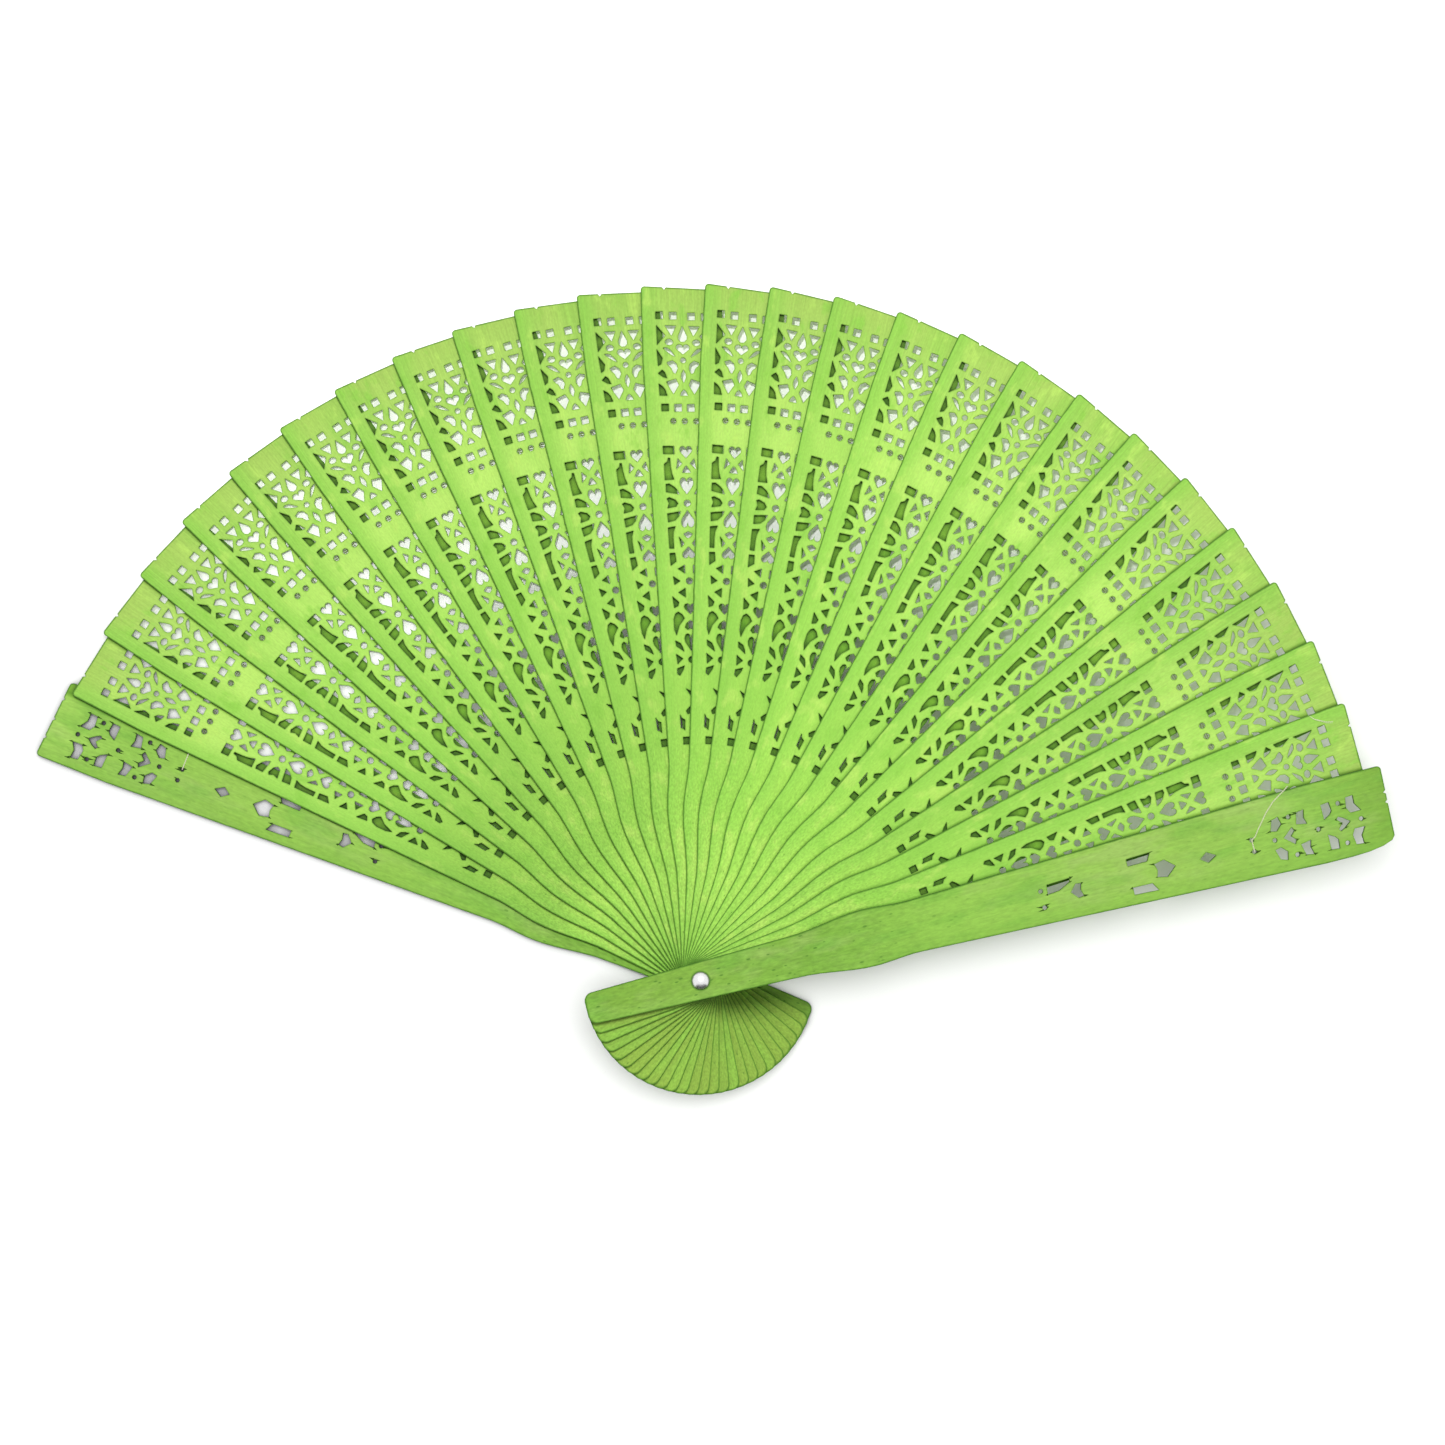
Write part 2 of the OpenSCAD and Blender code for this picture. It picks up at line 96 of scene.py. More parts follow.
# Shares of clear room round a spot between which a darkening comes in: painted shade in the air under a
# neighbour, and the darker rim in the wood at a cut edge
CLOSE_OPEN = (1, 0.35)
RIM_OPEN = (1, 0.55)
# Upward parts of a surface's direction between which a face turns into a cut wall
WALL_TURN = (0.8, 0.3)

# Radius of the worn round on every cut edge
WORN_R = 0.3
# Heights of the raised grain, the rivet's scratches and the thread's fibres, and how strongly they show
GRAIN_H, SCRATCH_H, FIBRE_H = 0.04, 0.02, 0.03
GRAIN_RAISED, SCRATCH_RAISED, FIBRE_RAISED = 0.35, 0.12, 0.5

# Stretches along a blade over which a look comes in, from none to full
ABOVE_TAIL = (-2, 14)
COVERED_PART = (12, 40)
LOW_PART = (75, 30)
TIP_PART = (132, 156)
SHOULDER_FROM, SHOULDER_TO = (28, 42), (95, 60)
EDGE_PART = (-4, 20)
TAIL_END_PART = (-24, -TAIL_REACH)

# Waves of a pattern in a millimetre: across the blade, along it and up
STICK_GRAIN, STICK_FIBRE, STICK_SPECKLE = (2.4, 0.045, 1), (7, 0.22, 1), (2.6, 1.3, 1)
STICK_CLOUDS, STICK_PATCHES = (0.11, 0.05, 0.3), (0.24, 0.12, 0.3)
GUARD_GRAIN, GUARD_FIBRE, GUARD_SPECKLE = (1.6, 0.05, 1), (5, 0.3, 1), (1.8, 0.6, 1)
GUARD_CLOUDS, GUARD_BLOTCHES = (0.13, 0.045, 0.3), (0.2, 0.06, 0.3)
EDGE_WANDER = (0.3, 0.4, 0.3)
PIT_WAVES = (0.62, 0.26, 0)
TORN_STRANDS = (3, 3, 3)
STEEL_WEAR, STEEL_SCRATCHES = (2, 2, 2), (14, 1.5, 3)
COTTON_FUZZ = (16, 16, 16)

# Sizes of the dark pits, as shares of the space between them, how far they differ and how soft they end
STICK_PIT, GUARD_PIT = 0.12, 0.2
PIT_SPREAD, PIT_SOFT = 0.3, 0.45

# Torn fibres at the ends of a guard's piercings: sizes of a sliver, and where along the guard they lie
SLIVER_L = (0.5, 1.7)
SLIVER_W = (0.3, 0.75)
SLIVER_H = 0.06
SLIVER_SKEW = 0.22
TORN_FROM, TORN_TO = 76, 167
REAR_TORN, FRONT_TORN, DOT_TORN = 0.4, 0.18, 0.03
# How far a corner has to face along the grain to end a hole, and how far upward to be a sharp one
END_FACING = 0.5
SHARP_UPWARD = 0.78

# Places of the thread holes
THREAD_Y = 136.4
THREAD_LEAN = 0.0421
THREAD_RUN = 4.4
THREAD_HOLE_PITCH = 2.8
GUARD_THREAD_Y = 137.8
REAR_HOLE_X = 0.05
REAR_THREAD_RUN = 5
FRONT_HOLES_X = (-0.05, 2.85)

# The loose stretch of thread on the front guard, from its inner hole
LOOSE_ROUTE = [
    (0, 0, 0.16), (-0.6, 1, 0.16), (-2, 2, 0.16), (-3.3, 3.1, 0.16), (-5.6, 5, 0.16), (-7.7, 7.2, 0.16),
    (-9.1, 9.4, 0.16), (-9.8, 10.6, 0.16), (-10.25, 11.3, -0.2), (-10.4, 11.6, -0.8), (-10.4, 11.8, -1.4),
]
# The two fine strands of thread that show past the edge of the last stick
LOOSE_END = [
    (-9.7, 160.8, 0.1), (-8.6, 161.6, 0.12), (-7.5, 163.3, 0.12), (-6.9, 164.3, 0.1), (-6.5, 165.7, 0.07),
]
LOOSE_END_SPLIT = (0.28, -0.22, 0)

# Yarn of the thread
PLIES = 2
PLY_SIDES = 6
PLY_R = 0.07
LAY_W = 0.1
FLAT_LAY_H = 0.03
TWIST_LENGTH = 1.1
YARN_STEP = 0.14
YARN_BEND_R = 0.12
STRAND_GAP = 0.26
# A strand of the loose end, and its plies as shares of it
STRAND_R = 0.07
STRAND_PLY, STRAND_LAY = 0.6, 0.4
# Turn of the thread's fibres in a millimetre of its run, in radians, and how far they wander
COTTON_FIBRES = 26
FIBRE_WANDER = 5

# The camera looks straight down
IMAGE_W = 357
CAMERA_AT = (5.3, 62.6, 1283)


def seen(red, green, blue):
    """A colour as it looks on a screen, 0 to 255, as the linear colour that a shader takes."""
    def linear(part):
        part = part / 255
        return part / 12.92 if part <= 0.04045 else ((part + 0.055) / 1.055) ** 2.4
    return (linear(red), linear(green), linear(blue), 1)


WHITE = (1, 1, 1, 1)


class Link:
    """The output of a node. Arithmetic on links, and with numbers, adds Math nodes to their tree."""

    def __init__(self, tree, socket):
        self.tree = tree
        self.socket = socket

    def __add__(self, other):
        return self.tree.maths("ADD", self, other)

    def __radd__(self, other):
        return self.tree.maths("ADD", other, self)

    def __sub__(self, other):
        return self.tree.maths("SUBTRACT", self, other)

    def __rsub__(self, other):
        return self.tree.maths("SUBTRACT", other, self)

    def __mul__(self, other):
        return self.tree.maths("MULTIPLY", self, other)

    def __rmul__(self, other):
        return self.tree.maths("MULTIPLY", other, self)

    def __truediv__(self, other):
        return self.tree.maths("DIVIDE", self, other)

    def __abs__(self):
        return self.tree.maths("ABSOLUTE", self)


class Tree:
    """A node tree that is built one node at a time."""

    def __init__(self, tree):
        self.tree = tree

    def add(self, kind, settings=None, sockets=None, output=0):
        """Adds a node: its settings first, then its sockets by name or number, as values or links."""
        node = self.tree.nodes.new(kind)
        for name, value in (settings or {}).items():
            if name == "stops":
                self.set_stops(node.color_ramp, value)
            else:
                setattr(node, name, value)
        for name, value in (sockets or {}).items():
            if isinstance(value, Link):
                self.tree.links.new(value.socket, node.inputs[name])
            else:
                node.inputs[name].default_value = value
        return Link(self, node.outputs[output]) if node.outputs else None

    @staticmethod
    def set_stops(ramp, stops):
        while len(ramp.elements) < len(stops):
            ramp.elements.new(1)
        for element, (place, colour) in zip(ramp.elements, stops):
            element.position = place
            element.color = colour

    def maths(self, operation, *terms):
        return self.add("ShaderNodeMath", {"operation": operation}, dict(enumerate(terms)))

    def vectors(self, operation, *terms, output=0):
        return self.add("ShaderNodeVectorMath", {"operation": operation}, dict(enumerate(terms)), output)

    def scaled(self, vector, factor):
        return self.add("ShaderNodeVectorMath", {"operation": "SCALE"}, {"Vector": vector, "Scale": factor})

    def parts(self, vector):
        """The three numbers of a vector."""
        x = self.add("ShaderNodeSeparateXYZ", sockets={"Vector": vector})
        return [Link(self, socket) for socket in x.socket.node.outputs]

    def fade(self, value, start, end):
        """0 at start, 1 at end, smooth between them."""
        return self.add(
            "ShaderNodeMapRange",
            {"interpolation_type": "SMOOTHSTEP"},
            {"Value": value, "From Min": start, "From Max": end},
        )

    def mix(self, share, first, second, mode="MIX"):
        """A colour between two colours."""
        settings = {"data_type": "RGBA", "blend_type": mode}
        return self.add("ShaderNodeMix", settings, {0: share, 6: first, 7: second}, output=2)

    def noise(self, place, stretch, seed, detail=2, roughness=0.5):
        """Noise in millimetres of place, with stretch as the number of waves in a millimetre each way."""
        spot = self.vectors("MULTIPLY_ADD", place, stretch, (seed, 2 * seed, 0.5 * seed))
        sockets = {"Vector": spot, "Scale": 1, "Detail": detail, "Roughness": roughness}
        return self.add("ShaderNodeTexNoise", {"noise_dimensions": "3D"}, sockets)


def new_material(name):
    """A material with only its output, and its tree."""
    material = bpy.data.materials.new(name)
    material.use_nodes = True
    material.node_tree.nodes.clear()
    return material, Tree(material.node_tree)


def shine(tree, sockets):
    """Ends a material in one surface shader."""
    shader = tree.add("ShaderNodeBsdfPrincipled", sockets=sockets)
    tree.add("ShaderNodeOutputMaterial", sockets={"Surface": shader})


# Where the blades are
TURN_OF_JOINT = {joint["name"]: joint["range_deg"][1] for joint in frame["joints"]}


def blade_name(k):
    if k == 0:
        return "rear_guard"
    return "front_guard" if k == FRONT else f"stick_{k:02d}"


def blade_angle(k):
    """Angle from +Y to the blade, in radians."""
    turn = 0 if k == 0 else TURN_OF_JOINT[blade_name(k) + "_turn"]
    return math.radians(REAR_DIRECTION - turn - 90)


def blade_level(k):
    """Height of the blade's back, in metres."""
    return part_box(blade_name(k))[0].z


def on_blade(k, point):
    """A point of blade k, in millimetres from its pivot and back, as a place on the fan in metres."""
    turned = Matrix.Rotation(blade_angle(k), 3, "Z") @ Vector(point)
    return turned * MM + Vector((0, 0, blade_level(k)))


def blade_place(tree, k):
    """Millimetres across, along and up blade k, for its material."""
    place = tree.add("ShaderNodeTexCoord", output=3)
    sockets = {
        "Vector": place,
        "Location": (0, 0, -blade_level(k) / MM),
        "Rotation": (0, 0, -blade_angle(k)),
        "Scale": (1 / MM, 1 / MM, 1 / MM),
    }
    return tree.add("ShaderNodeMapping", {"vector_type": "POINT"}, sockets)


# Dyes of the wood
STICK_DYE = [
    # The tail's stops are darker: partly the dye, partly painted shade under the front guard
    (-TAIL_REACH, seen(145, 182, 68)),
    (-10, seen(145, 184, 69)),
    (6, seen(198, 244, 107)),
    (24, seen(200, 246, 109)),
    (42, seen(168, 224, 87)),
    (70, seen(165, 221, 87)),
    (118, seen(176, 229, 98)),
    (134, seen(189, 235, 108)),
    (146, seen(178, 226, 98)),
    (160, seen(173, 214, 98)),
    (STICK_REACH, seen(168, 205, 92)),
]
STICK_EDGE = seen(145, 208, 78)
STICK_DEEP = seen(142, 206, 72)
STICK_SUNNY = seen(190, 232, 104)
GUARD_DYE = [
    (-TAIL_REACH, seen(124, 170, 58)),
    (0, seen(130, 177, 63)),
    (30, seen(121, 172, 58)),
    (60, seen(146, 198, 76)),
    (120, seen(150, 196, 80)),
    (150, seen(144, 194, 76)),
]
FRONT_TIP_DYE = seen(124, 172, 58)
REAR_TIP_DYE = seen(162, 209, 90)
GUARD_EDGE = seen(132, 184, 66)
GUARD_CLOUD = seen(160, 192, 100)
GUARD_GREEN = seen(118, 178, 62)
CUT_WOOD = seen(42, 80, 12)
RIM_WOOD = seen(96, 148, 44)
EDGE_WOOD = seen(54, 112, 6)
# Painted shade: the colour that wood under a neighbouring blade is multiplied by
COVERED_SHADE = (0.54, 0.67, 0.28, 1)
# Painted shade beside the cut edge of the blade above
CLOSE_SHADE = (0.14, 0.2, 0.07, 1)
# Colour of the dark pits in the wood, also used for the painted shade round the rivet's head
DARK_PIT_AND_SHADE = seen(70, 122, 28)
TORN_WOOD = seen(44, 74, 16)
TORN_PALE = seen(92, 128, 48)
THREAD_PALE = seen(246, 248, 220)
THREAD_SHADE = seen(208, 216, 160)
# Thread behind the sticks: green from the dye, and darker with painted shade for where it lies
STAIN_AND_SHADE_PALE = seen(160, 182, 115)
STAIN_AND_SHADE_DARK = seen(130, 152, 88)
STEEL = (0.84, 0.84, 0.85, 1)
STEEL_RIM_DIRT_AND_SHADE = (0.14, 0.15, 0.12, 1)

# Roughness and gloss of each finish, and how far wear changes the roughness
WOOD_ROUGH, WOOD_WORN, WOOD_GLOSS = 0.72, 0.16, 0.25
TORN_ROUGH, TORN_WORN, TORN_GLOSS = 0.7, 0.25, 0.15
COTTON_ROUGH, COTTON_WORN, COTTON_GLOSS = 0.75, 0.15, 0.2
STEEL_ROUGH, STEEL_RIM_ROUGH, STEEL_WORN = 0.26, 0.2, 0.12
# Where the rivet head's rim begins, darker with dirt and painted shade, as a share of its radius
STEEL_RIM_FROM = 0.78

# How far clouds in the wood shift the dye along a stick and a guard, in millimetres
STICK_DRIFT, GUARD_DRIFT = 9, 14
# Places across a stick, as shares of its half width, between which its left edge deepens
LEFT_FROM, LEFT_TO = -0.3, -1.05
# The same for a guard's outer edge
OUTER_FROM, OUTER_TO = 0.25, 1.05
# Levels of a pattern between which it shows
DEEP_CLOUDS, DEEP_PATCHES, SUNNY_PATCHES = (0.42, 0.72), (0.54, 0.72), (0.46, 0.3)
PALE_CLOUDS, GREEN_BLOTCHES, PALE_STRANDS = (0.46, 0.68), (0.48, 0.7), (0.45, 0.75)
# Sticks painted lighter, as if they faced the lamp: the middle one, how many to each side, and how much
# lighter
FACING_AT, FACING_SPREAD, FACING_LIGHT = 18, 5, 0.09
# How much darker the shoulders of the left-hand sticks are
LEFT_SHADE = 0.16
# Strengths of a stick's looks. The clouds get stronger towards the right-hand sticks
LEFT_DEPTH, DEEP_PATCH, SUNNY_PATCH, STICK_PIT_DEPTH = 0.85, 0.7, 0.6, 0.55
CLOUD_DEPTH, CLOUD_RIGHT = 0.25, 0.35
STICK_STREAKS = {"grain": 0.4, "fibre": 0.2, "speckle": 0.85}
# What is left of the grain below the tip, and of the speckle above the low part
GRAIN_LEFT, SPECKLE_LEFT = 0.35, 0.35
# Strengths of a guard's looks
GUARD_PALE, GUARD_BLOTCH, OUTER_DEPTH, GUARD_PIT_DEPTH, HEAD_SHADE = 0.6, 0.55, 0.7, 0.75, 0.85
GUARD_STREAKS = {"grain": 0.34, "fibre": 0.2, "speckle": 0.3, "low speckle": 0.45}
# What is left of a guard's pits and low speckle above the low part
PITS_LEFT = 0.25


def along(tree, y, dye):
    """The dye's colour along a blade, from stops in millimetres from the pivot."""
    low, high = dye[0][0], dye[-1][0]
    stops = [((place - low) / (high - low), colour) for place, colour in dye]
    return tree.add("ShaderNodeValToRGB", {"stops": stops}, {"Fac": (y - low) / (high - low)})


def half_width(tree, y, reach):
    """Half the blade's width at y: straight along the tail and the upper part, S-shaped at the shoulder."""
    def straight(start, end):
        return tree.add("ShaderNodeMapRange", sockets={"Value": y, "From Min": start, "From Max": end})
    neck = HALF_TAIL + (HALF_NECK - HALF_TAIL) * straight(-TAIL_REACH, NECK_END)
    shoulder = (HALF_SHOULDER - HALF_NECK) * tree.fade(y, NECK_END, SHOULDER_AT)
    waist = (HALF_WAIST - HALF_SHOULDER) * tree.fade(y, SHOULDER_AT, WAIST_AT)
    tip = (HALF_TIP - HALF_WAIST) * straight(WAIST_AT, reach - TIP_BAND)
    return neck + shoulder + waist + tip


def blade_edge(tree, x, y, half, reach, slant, ragged):
    """1 along the blade's own outline, round its corners, and 0 a ragged edge's width inside it."""
    from_side = half - abs(x)
    from_tip = reach - slant * x - y
    from_tail = y + TAIL_REACH
    from_end = tree.maths("MINIMUM", from_tip, from_tail)
    corner = TAIL_CORNER + (TIP_CORNER - TAIL_CORNER) * tree.fade(y, NECK_END, SHOULDER_AT)
    into_side = tree.maths("MAXIMUM", corner - from_side, 0)
    into_end = tree.maths("MAXIMUM", corner - from_end, 0)
    into_corner = tree.add("ShaderNodeCombineXYZ", sockets={"X": into_side, "Y": into_end})
    inside = corner - tree.vectors("LENGTH", into_corner, output=1)
    width = TAIL_EDGE_W + (EDGE_W - TAIL_EDGE_W) * tree.fade(y, *EDGE_PART)
    width = width + (TAIL_END_W - TAIL_EDGE_W) * tree.fade(y, *TAIL_END_PART)
    return tree.fade(inside, width * (RAGGED_LEAST + RAGGED_MORE * ragged), 0)


def upward(tree):
    """1 on a face that looks up, -1 on a back, between them on the walls."""
    return tree.parts(tree.add("ShaderNodeNewGeometry", output=1))[2]


def covered(tree, x, y, half):
    """1 where a neighbour lies over this face on the open fan, which is where its shade is painted."""
    step = math.tan(math.radians(TURN_OF_JOINT["front_guard_turn"] / FRONT))
    across = x * tree.maths("SIGN", upward(tree))
    past_edge = across - (y * step - half)
    blend = tree.fade(past_edge, -0.5 * COVERED_SHADE_BLEND, 0.5 * COVERED_SHADE_BLEND)
    return blend * tree.fade(y, *COVERED_PART)


def close_above(tree):
    """1 right beside or under the cut edge of the blade above, 0 in the open: the mask for painted shade.
    """
    reach = {"Distance": CLOSE_R * MM}
    open_share = tree.add("ShaderNodeAmbientOcclusion", {"samples": 6}, reach, output=1)
    return tree.fade(open_share, *CLOSE_OPEN)


def under_neighbour(tree, colour, under):
    """Paints shade on the wood where a neighbour lies over it: a darker colour, darker still beside that
    neighbour's cut edges.
    """
    colour = tree.mix(under, colour, COVERED_SHADE, "MULTIPLY")
    return tree.mix(under * close_above(tree), colour, CLOSE_SHADE, "MULTIPLY")


def pits(tree, place, seed, size):
    """Short dark pits along the grain: 1 inside a pit."""
    spot = tree.vectors("MULTIPLY_ADD", place, PIT_WAVES, (seed, seed, 0))
    near = {"Vector": spot, "Scale": 1, "Randomness": 1}
    settings = {"voronoi_dimensions": "2D", "feature": "F1"}
    distance = tree.add("ShaderNodeTexVoronoi", settings, near)
    pick = tree.add("ShaderNodeTexWhiteNoise", {"noise_dimensions": "3D"}, {
        "Vector": Link(tree, distance.socket.node.outputs["Position"]),
    })
    return tree.fade(distance + pick * PIT_SPREAD, size, size * PIT_SOFT)


def cut_walls(tree):
    """1 on the walls of the piercings and on the blade's narrow edges, 0 on its two faces."""
    return tree.fade(abs(upward(tree)), *WALL_TURN)


def cut_rim(tree):
    """1 at the cut edges, where the wood is drawn darker, and 0 a rim's width away from them."""
    settings = {"inside": True, "only_local": True, "samples": 6}
    open_share = tree.add("ShaderNodeAmbientOcclusion", settings, {"Distance": RIM_W * MM}, output=1)
    return tree.fade(open_share, *RIM_OPEN)


def finish_wood(tree, colour, edge, grain, wear):
    """Cut walls and rims, gloss and the raised grain, which are the same on every blade."""
    colour = tree.mix(edge * EDGE_DEPTH, colour, EDGE_WOOD)
    colour = tree.mix(cut_rim(tree) * RIM_DEPTH, colour, RIM_WOOD)
    colour = tree.mix(cut_walls(tree), colour, CUT_WOOD)
    worn = tree.add("ShaderNodeBevel", {"samples": 4}, {"Radius": WORN_R * MM})
    raised = {"Strength": GRAIN_RAISED, "Distance": GRAIN_H * MM, "Height": grain, "Normal": worn}
    bump = tree.add("ShaderNodeBump", sockets=raised)
    shine(tree, {
        "Base Color": colour,
        "Roughness": WOOD_ROUGH - WOOD_WORN * wear,
        "Specular IOR Level": WOOD_GLOSS,
        "Normal": bump,
    })


def stick_wood(k):
    """Thin lime-green wood, deeper at its left edge, paler between its panels and olive at its tip."""
    material, tree = new_material(f"stick_wood_{k:02d}")
    chance = random.Random(100 + k)
    seed = 13.7 * k
    place = blade_place(tree, k)
    x, y = tree.parts(place)[:2]
    grain = tree.noise(place, STICK_GRAIN, seed, detail=3, roughness=0.62)
    fibre = tree.noise(place, STICK_FIBRE, seed + 5, detail=2)
    clouds = tree.noise(place, STICK_CLOUDS, seed + 9, detail=2)
    patch = tree.noise(place, STICK_PATCHES, seed + 31, detail=3, roughness=0.6)
    speckle = tree.noise(place, STICK_SPECKLE, seed + 15, detail=2)
    half = half_width(tree, y, STICK_REACH)
    spread = k / FRONT

    colour = along(tree, y + STICK_DRIFT * (clouds - 0.5), STICK_DYE)
    left = tree.fade(x / half + 0.5 * (clouds - 0.5), LEFT_FROM, LEFT_TO)
    colour = tree.mix(left * LEFT_DEPTH, colour, STICK_EDGE)
    deep = tree.fade(clouds + chance.uniform(-0.06, 0.06), *DEEP_CLOUDS)
    colour = tree.mix(deep * (CLOUD_DEPTH + CLOUD_RIGHT * spread), colour, STICK_DEEP)
    above_tail = tree.fade(y, *ABOVE_TAIL)
    colour = tree.mix(tree.fade(patch, *DEEP_PATCHES) * above_tail * DEEP_PATCH, colour, STICK_DEEP)
    colour = tree.mix(tree.fade(patch, *SUNNY_PATCHES) * above_tail * SUNNY_PATCH, colour, STICK_SUNNY)

    tip = GRAIN_LEFT + (1 - GRAIN_LEFT) * tree.fade(y, *TIP_PART)
    low = tree.fade(y, *LOW_PART)
    speckled = SPECKLE_LEFT + (1 - SPECKLE_LEFT) * low
    streaks = STICK_STREAKS["grain"] * (grain - 0.5) * tip
    streaks = streaks + STICK_STREAKS["fibre"] * (fibre - 0.5)
    streaks = streaks + STICK_STREAKS["speckle"] * (speckle - 0.5) * speckled
    # Painted light on the sticks round the middle one
    facing = FACING_LIGHT * max(0, 1 - ((k - FACING_AT) / FACING_SPREAD) ** 2)
    shade = chance.uniform(0.97, 1.02) + facing
    left_shade = LEFT_SHADE * max(0, 1 - 4 * spread * spread)
    shoulder = tree.fade(y, *SHOULDER_FROM) * tree.fade(y, *SHOULDER_TO)
    colour = tree.scaled(colour, shade + streaks - left_shade * shoulder)
    colour = under_neighbour(tree, colour, covered(tree, x, y, half))
    colour = tree.mix(pits(tree, place, seed, STICK_PIT) * low * STICK_PIT_DEPTH, colour, DARK_PIT_AND_SHADE)
    ragged = tree.noise(place, EDGE_WANDER, seed + 41, detail=2)
    edge = blade_edge(tree, x, y, half, STICK_REACH, STICK_SLANT, ragged)
    finish_wood(tree, colour, edge, grain + 0.5 * fibre, clouds)
    return material


def guard_wood(k):
    """Thicker wood of a guard: duller and olive, clouded, with greener edges and dark pits."""
    material, tree = new_material(blade_name(k) + "_wood")
    seed = 31.3 + 7.9 * k
    place = blade_place(tree, k)
    x, y = tree.parts(place)[:2]
    grain = tree.noise(place, GUARD_GRAIN, seed, detail=4, roughness=0.6)
    fibre = tree.noise(place, GUARD_FIBRE, seed + 5, detail=2)
    clouds = tree.noise(place, GUARD_CLOUDS, seed + 9, detail=3, roughness=0.6)
    blotch = tree.noise(place, GUARD_BLOTCHES, seed + 21, detail=2)
    speckle = tree.noise(place, GUARD_SPECKLE, seed + 15, detail=2)
    half = half_width(tree, y, GUARD_REACH)
    if k == 0:
        side, tip_dye, slant = 1, REAR_TIP_DYE, STICK_SLANT
    else:
        side, tip_dye, slant = -1, FRONT_TIP_DYE, FRONT_SLANT

    colour = along(tree, y + GUARD_DRIFT * (clouds - 0.5), GUARD_DYE + [(GUARD_REACH, tip_dye)])
    colour = tree.mix(tree.fade(clouds, *PALE_CLOUDS) * GUARD_PALE, colour, GUARD_CLOUD)
    colour = tree.mix(tree.fade(blotch, *GREEN_BLOTCHES) * GUARD_BLOTCH, colour, GUARD_GREEN)
    outer = tree.fade(x / half * -side + 0.4 * (clouds - 0.5), OUTER_FROM, OUTER_TO)
    colour = tree.mix(outer * OUTER_DEPTH, colour, GUARD_EDGE)

    low = PITS_LEFT + (1 - PITS_LEFT) * tree.fade(y, *LOW_PART)
    speckled = GUARD_STREAKS["speckle"] + GUARD_STREAKS["low speckle"] * low
    streaks = GUARD_STREAKS["grain"] * (grain - 0.5) + GUARD_STREAKS["fibre"] * (fibre - 0.5)
    streaks = streaks + speckled * (speckle - 0.5)
    colour = tree.scaled(colour, 1 + streaks)
    inner_face = tree.maths("GREATER_THAN", upward(tree) * side, 0)
    colour = under_neighbour(tree, colour, covered(tree, x, y, half) * inner_face)
    colour = tree.mix(pits(tree, place, seed, GUARD_PIT) * low * GUARD_PIT_DEPTH, colour, DARK_PIT_AND_SHADE)
    flat = tree.add("ShaderNodeCombineXYZ", sockets={"X": x, "Y": y})
    from_pivot = tree.vectors("LENGTH", flat, output=1)
    # Painted shade and dirt in a ring round the rivet's head
    under_head = tree.fade(from_pivot, RIVET_HEAD_R + HEAD_SHADE_W, RIVET_HEAD_R)
    colour = tree.mix(under_head * HEAD_SHADE, colour, DARK_PIT_AND_SHADE)
    ragged = tree.noise(place, EDGE_WANDER, seed + 41, detail=2)
    edge = blade_edge(tree, x, y, half, GUARD_REACH, slant, ragged)
    finish_wood(tree, colour, edge, grain + 0.4 * fibre, clouds)
    return material


def rivet_steel():
    """Polished steel with fine scratches, darker and rougher towards the rim with dirt and painted shade.
    """
    material, tree = new_material("rivet_steel")
    place = tree.scaled(tree.add("ShaderNodeTexCoord", output=3), 1 / MM)
    x, y = tree.parts(place)[:2]
    flat = tree.add("ShaderNodeCombineXYZ", sockets={"X": x, "Y": y})
    radius = tree.vectors("LENGTH", flat, output=1)
    wear = tree.noise(place, STEEL_WEAR, 3, detail=3)
    scratch = tree.noise(place, STEEL_SCRATCHES, 8, detail=2)
    rim = tree.fade(radius + 0.3 * (wear - 0.5), STEEL_RIM_FROM * RIVET_HEAD_R, RIVET_HEAD_R)
    # The rim is darker with dirt and painted shade
    colour = tree.mix(rim * 0.9, STEEL, STEEL_RIM_DIRT_AND_SHADE)
    raised = {"Strength": SCRATCH_RAISED, "Distance": SCRATCH_H * MM, "Height": scratch}
    bump = tree.add("ShaderNodeBump", sockets=raised)
    shine(tree, {
        "Base Color": colour,
        "Metallic": 1,
        "Roughness": STEEL_ROUGH + STEEL_RIM_ROUGH * rim + STEEL_WORN * (wear - 0.5),
        "Normal": bump,
    })
    return material


def thread_cotton(name, pale, shade):
    """Cotton yarn with fibres that run round it."""
    material, tree = new_material(name)
    run = tree.add("ShaderNodeAttribute", {"attribute_name": "run"}, output=2)
    place = tree.scaled(tree.add("ShaderNodeTexCoord", output=3), 1 / MM)
    fuzz = tree.noise(place, COTTON_FUZZ, 2, detail=2)
    fibre = tree.maths("SINE", run * COTTON_FIBRES + FIBRE_WANDER * fuzz) * 0.5 + 0.5
    colour = tree.mix(0.5 * fibre + 0.3 * fuzz, pale, shade)
    raised = {"Strength": FIBRE_RAISED, "Distance": FIBRE_H * MM, "Height": fibre}
    bump = tree.add("ShaderNodeBump", sockets=raised)
    shine(tree, {
        "Base Color": colour,
        "Roughness": COTTON_ROUGH + COTTON_WORN * fuzz,
        "Specular IOR Level": COTTON_GLOSS,
        "Normal": bump,
    })
    return material


